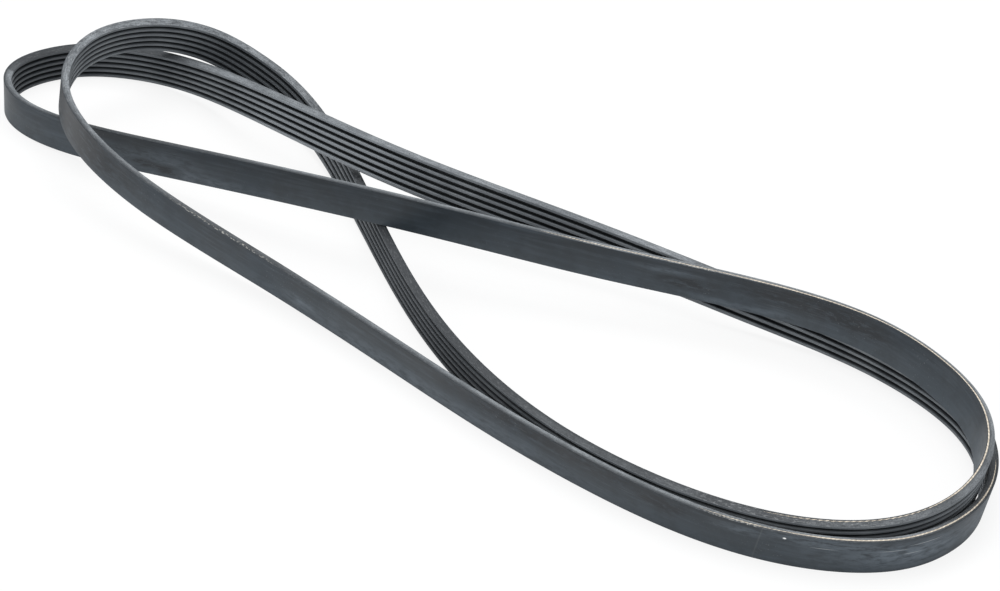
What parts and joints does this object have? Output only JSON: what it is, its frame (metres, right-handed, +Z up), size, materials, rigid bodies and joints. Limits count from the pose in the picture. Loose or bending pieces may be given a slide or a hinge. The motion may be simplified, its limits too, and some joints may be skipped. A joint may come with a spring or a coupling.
{
  "type": "serpentine belt",
  "caption": "Ribbed rubber serpentine drive belt, stood on its cut edge and folded into a loose bundle of long loops, with a smooth back and V-shaped ribs inside.",
  "frame": {"origin": "middle of the bundle's footprint, on the surface that it stands on", "axes": "+Z up, across the belt's width; +X along the bundle, from the end with the two crossing bends to the end where the bends nest; -Y towards the viewer of the picture"},
  "size_m": [0.52, 0.4544, 0.0522],
  "materials": {
    "belt_rubber": "satin black rubber, slightly blue, with paler cut edges"
  },
  "bodies": {
    "root": {"belt": "belt_rubber"}
  },
  "joints": []
}
